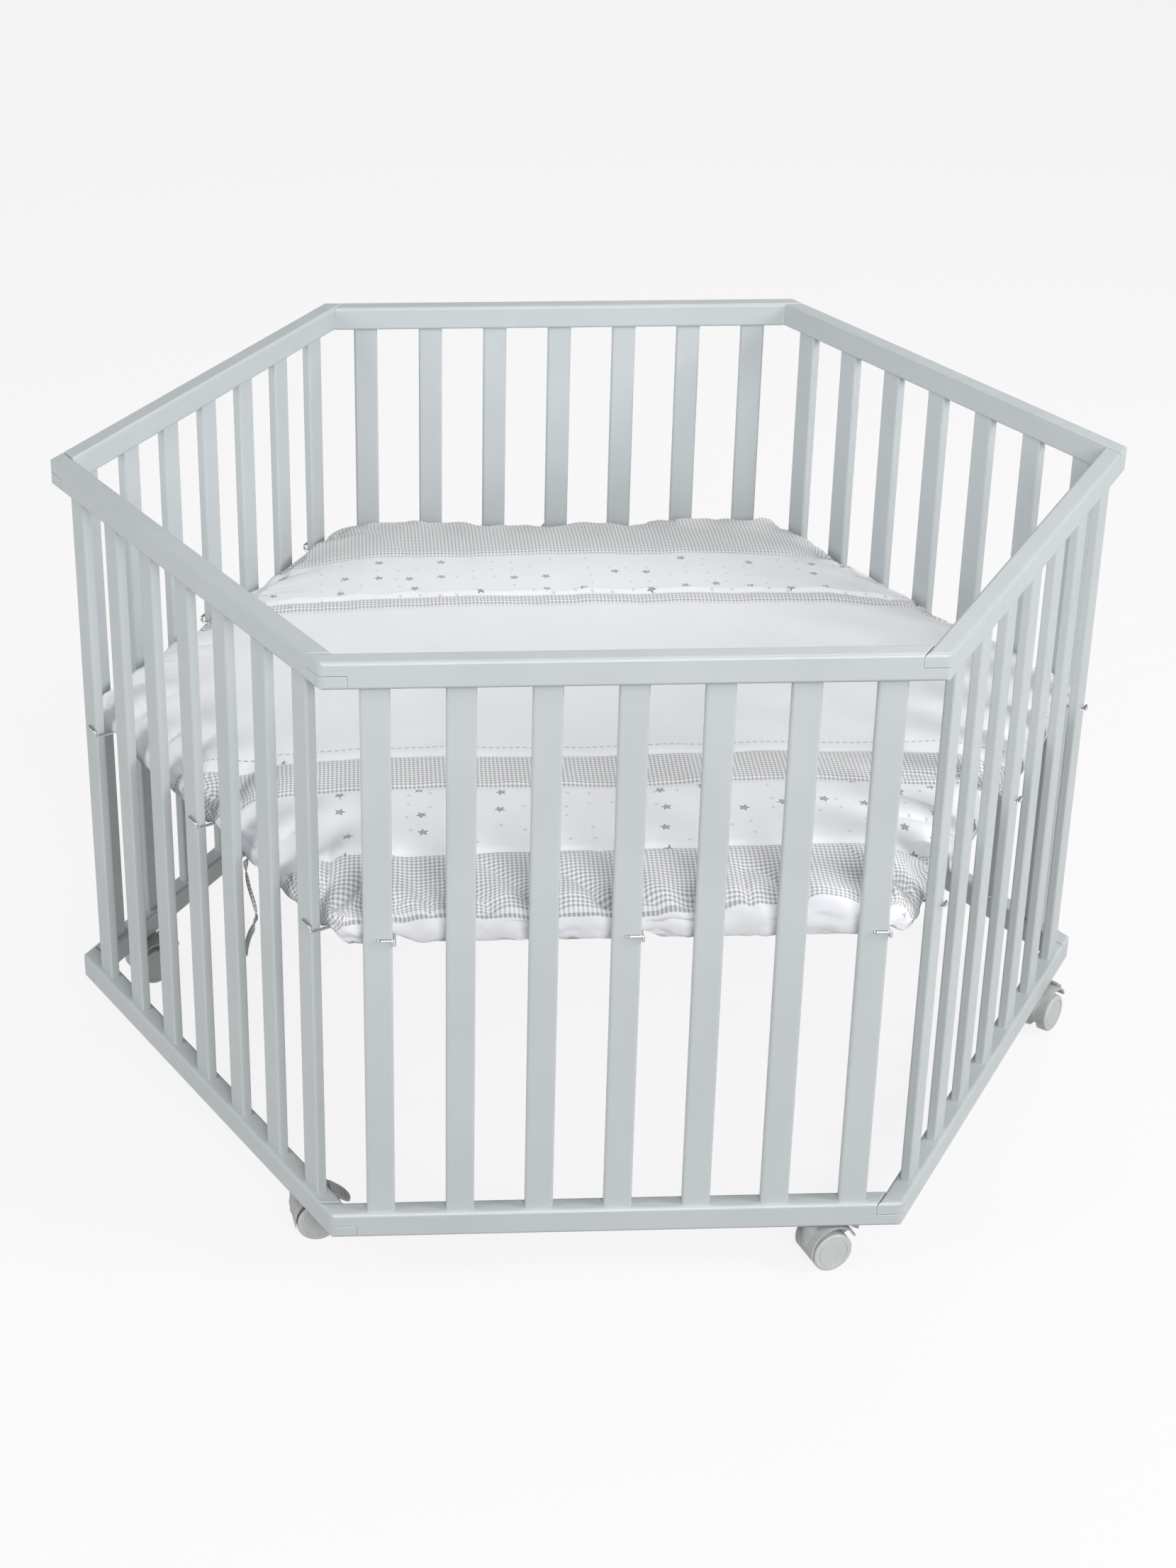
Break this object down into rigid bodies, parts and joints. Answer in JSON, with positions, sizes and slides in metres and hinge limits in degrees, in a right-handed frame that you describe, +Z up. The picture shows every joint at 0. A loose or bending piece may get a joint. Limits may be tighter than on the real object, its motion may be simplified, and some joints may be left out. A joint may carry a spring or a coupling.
{
  "type": "playpen",
  "caption": "Hexagonal slatted playpen with grey painted rails, lift-out base board on wire hooks, quilted white and gingham insert, and braked twin-wheel castors.",
  "frame": {"origin": "on the floor, under the middle of the hexagon", "axes": "+Z up, -Y towards the front panel, +X towards the right-hand corner of the hexagon"},
  "size_m": [1.2572, 1.1078, 0.765],
  "materials": {
    "frame_paint": "satin",
    "hook_wire": "polished",
    "fastener_steel": "satin",
    "brass_insert": "satin",
    "base_board": "matte",
    "insert_fabric": "matte",
    "tie_fabric": "matte",
    "castor_hood": "satin",
    "castor_wheel": "satin",
    "castor_pedal": "satin"
  },
  "bodies": {
    "frame": {"front_top_rail": "frame_paint", "front_bottom_rail": "frame_paint", "front_slats": "frame_paint", "front_right_top_rail": "frame_paint", "front_right_bottom_rail": "frame_paint", "front_right_slats": "frame_paint", "back_right_top_rail": "frame_paint", "back_right_bottom_rail": "frame_paint", "back_right_slats": "frame_paint", "back_top_rail": "frame_paint", "back_bottom_rail": "frame_paint", "back_slats": "frame_paint", "back_left_top_rail": "frame_paint", "back_left_bottom_rail": "frame_paint", "back_left_slats": "frame_paint", "front_left_top_rail": "frame_paint", "front_left_bottom_rail": "frame_paint", "front_left_slats": "frame_paint", "corner_bolts": "fastener_steel", "corner_inserts": "brass_insert", "base_hooks": "hook_wire", "castor_sockets": "fastener_steel"},
    "base": {"base_board_left": "base_board", "base_board_right": "base_board", "base_cleat": "base_board", "cleat_screws": "fastener_steel", "insert": "insert_fabric", "insert_tie": "tie_fabric"},
    "castor_front_swivel": {"castor_front_hood": "castor_hood", "castor_front_pins": "fastener_steel"},
    "castor_front_left_wheel": {"castor_front_wheel_left": "castor_wheel"},
    "castor_front_right_wheel": {"castor_front_wheel_right": "castor_wheel"},
    "castor_front_brake": {"castor_front_pedal": "castor_pedal"},
    "castor_front_right_swivel": {"castor_front_right_hood": "castor_hood", "castor_front_right_pins": "fastener_steel"},
    "castor_front_right_left_wheel": {"castor_front_right_wheel_left": "castor_wheel"},
    "castor_front_right_right_wheel": {"castor_front_right_wheel_right": "castor_wheel"},
    "castor_front_right_brake": {"castor_front_right_pedal": "castor_pedal"},
    "castor_back_right_swivel": {"castor_back_right_hood": "castor_hood", "castor_back_right_pins": "fastener_steel"},
    "castor_back_right_left_wheel": {"castor_back_right_wheel_left": "castor_wheel"},
    "castor_back_right_right_wheel": {"castor_back_right_wheel_right": "castor_wheel"},
    "castor_back_right_brake": {"castor_back_right_pedal": "castor_pedal"},
    "castor_back_swivel": {"castor_back_hood": "castor_hood", "castor_back_pins": "fastener_steel"},
    "castor_back_left_wheel": {"castor_back_wheel_left": "castor_wheel"},
    "castor_back_right_wheel": {"castor_back_wheel_right": "castor_wheel"},
    "castor_back_brake": {"castor_back_pedal": "castor_pedal"},
    "castor_back_left_swivel": {"castor_back_left_hood": "castor_hood", "castor_back_left_pins": "fastener_steel"},
    "castor_back_left_left_wheel": {"castor_back_left_wheel_left": "castor_wheel"},
    "castor_back_left_right_wheel": {"castor_back_left_wheel_right": "castor_wheel"},
    "castor_back_left_brake": {"castor_back_left_pedal": "castor_pedal"},
    "castor_front_left_swivel": {"castor_front_left_hood": "castor_hood", "castor_front_left_pins": "fastener_steel"},
    "castor_front_left_left_wheel": {"castor_front_left_wheel_left": "castor_wheel"},
    "castor_front_left_right_wheel": {"castor_front_left_wheel_right": "castor_wheel"},
    "castor_front_left_brake": {"castor_front_left_pedal": "castor_pedal"}
  },
  "joints": [
    {"name": "base_lift", "type": "slide", "parent": "frame", "child": "base", "axis": [0, 0, 1], "range_m": [0, 0.36]},
    {"name": "castor_front_swivel", "type": "hinge", "parent": "frame", "child": "castor_front_swivel", "pos_m": [0.21675, -0.5336, 0.06], "axis": [0, 0, 1], "continuous": true},
    {"name": "castor_front_left_roll", "type": "hinge", "parent": "castor_front_swivel", "child": "castor_front_left_wheel", "pos_m": [0.23554, -0.52676, 0.024], "axis": [-0.342, 0.9397, 0], "continuous": true},
    {"name": "castor_front_right_roll", "type": "hinge", "parent": "castor_front_swivel", "child": "castor_front_right_wheel", "pos_m": [0.23554, -0.52676, 0.024], "axis": [-0.342, 0.9397, 0], "continuous": true},
    {"name": "castor_front_brake_press", "type": "hinge", "parent": "castor_front_swivel", "child": "castor_front_brake", "pos_m": [0.24776, -0.52231, 0.046], "axis": [-0.342, 0.9397, 0], "range_deg": [0, 10]},
    {"name": "castor_front_right_swivel", "type": "hinge", "parent": "frame", "child": "castor_front_right_swivel", "pos_m": [0.57048, -0.07909, 0.06], "axis": [0, 0, 1], "continuous": true},
    {"name": "castor_front_right_left_roll", "type": "hinge", "parent": "castor_front_right_swivel", "child": "castor_front_right_left_wheel", "pos_m": [0.58334, -0.06377, 0.024], "axis": [-0.766, 0.6428, 0], "continuous": true},
    {"name": "castor_front_right_right_roll", "type": "hinge", "parent": "castor_front_right_swivel", "child": "castor_front_right_right_wheel", "pos_m": [0.58334, -0.06377, 0.024], "axis": [-0.766, 0.6428, 0], "continuous": true},
    {"name": "castor_front_right_brake_press", "type": "hinge", "parent": "castor_front_right_swivel", "child": "castor_front_right_brake", "pos_m": [0.59169, -0.05381, 0.046], "axis": [-0.766, 0.6428, 0], "range_deg": [0, 10]},
    {"name": "castor_back_right_swivel", "type": "hinge", "parent": "frame", "child": "castor_back_right_swivel", "pos_m": [0.35373, 0.45451, 0.06], "axis": [0, 0, 1], "continuous": true},
    {"name": "castor_back_right_left_roll", "type": "hinge", "parent": "castor_back_right_swivel", "child": "castor_back_right_left_wheel", "pos_m": [0.33404, 0.45104, 0.024], "axis": [0.1736, -0.9848, 0], "continuous": true},
    {"name": "castor_back_right_right_roll", "type": "hinge", "parent": "castor_back_right_swivel", "child": "castor_back_right_right_wheel", "pos_m": [0.33404, 0.45104, 0.024], "axis": [0.1736, -0.9848, 0], "continuous": true},
    {"name": "castor_back_right_brake_press", "type": "hinge", "parent": "castor_back_right_swivel", "child": "castor_back_right_brake", "pos_m": [0.32123, 0.44878, 0.046], "axis": [0.1736, -0.9848, 0], "range_deg": [0, 10]},
    {"name": "castor_back_swivel", "type": "hinge", "parent": "frame", "child": "castor_back_swivel", "pos_m": [-0.21675, 0.5336, 0.06], "axis": [0, 0, 1], "continuous": true},
    {"name": "castor_back_left_roll", "type": "hinge", "parent": "castor_back_swivel", "child": "castor_back_left_wheel", "pos_m": [-0.23554, 0.52676, 0.024], "axis": [0.342, -0.9397, 0], "continuous": true},
    {"name": "castor_back_right_roll", "type": "hinge", "parent": "castor_back_swivel", "child": "castor_back_right_wheel", "pos_m": [-0.23554, 0.52676, 0.024], "axis": [0.342, -0.9397, 0], "continuous": true},
    {"name": "castor_back_brake_press", "type": "hinge", "parent": "castor_back_swivel", "child": "castor_back_brake", "pos_m": [-0.24776, 0.52231, 0.046], "axis": [0.342, -0.9397, 0], "range_deg": [0, 10]},
    {"name": "castor_back_left_swivel", "type": "hinge", "parent": "frame", "child": "castor_back_left_swivel", "pos_m": [-0.57048, 0.07909, 0.06], "axis": [0, 0, 1], "continuous": true},
    {"name": "castor_back_left_left_roll", "type": "hinge", "parent": "castor_back_left_swivel", "child": "castor_back_left_left_wheel", "pos_m": [-0.55316, 0.08909, 0.024], "axis": [-0.5, 0.866, 0], "continuous": true},
    {"name": "castor_back_left_right_roll", "type": "hinge", "parent": "castor_back_left_swivel", "child": "castor_back_left_right_wheel", "pos_m": [-0.55316, 0.08909, 0.024], "axis": [-0.5, 0.866, 0], "continuous": true},
    {"name": "castor_back_left_brake_press", "type": "hinge", "parent": "castor_back_left_swivel", "child": "castor_back_left_brake", "pos_m": [-0.5419, 0.09559, 0.046], "axis": [-0.5, 0.866, 0], "range_deg": [0, 10]},
    {"name": "castor_front_left_swivel", "type": "hinge", "parent": "frame", "child": "castor_front_left_swivel", "pos_m": [-0.35373, -0.45451, 0.06], "axis": [0, 0, 1], "continuous": true},
    {"name": "castor_front_left_left_roll", "type": "hinge", "parent": "castor_front_left_swivel", "child": "castor_front_left_left_wheel", "pos_m": [-0.33404, -0.45104, 0.024], "axis": [-0.1736, 0.9848, 0], "continuous": true},
    {"name": "castor_front_left_right_roll", "type": "hinge", "parent": "castor_front_left_swivel", "child": "castor_front_left_right_wheel", "pos_m": [-0.33404, -0.45104, 0.024], "axis": [-0.1736, 0.9848, 0], "continuous": true},
    {"name": "castor_front_left_brake_press", "type": "hinge", "parent": "castor_front_left_swivel", "child": "castor_front_left_brake", "pos_m": [-0.32123, -0.44878, 0.046], "axis": [-0.1736, 0.9848, 0], "range_deg": [0, 10]}
  ]
}
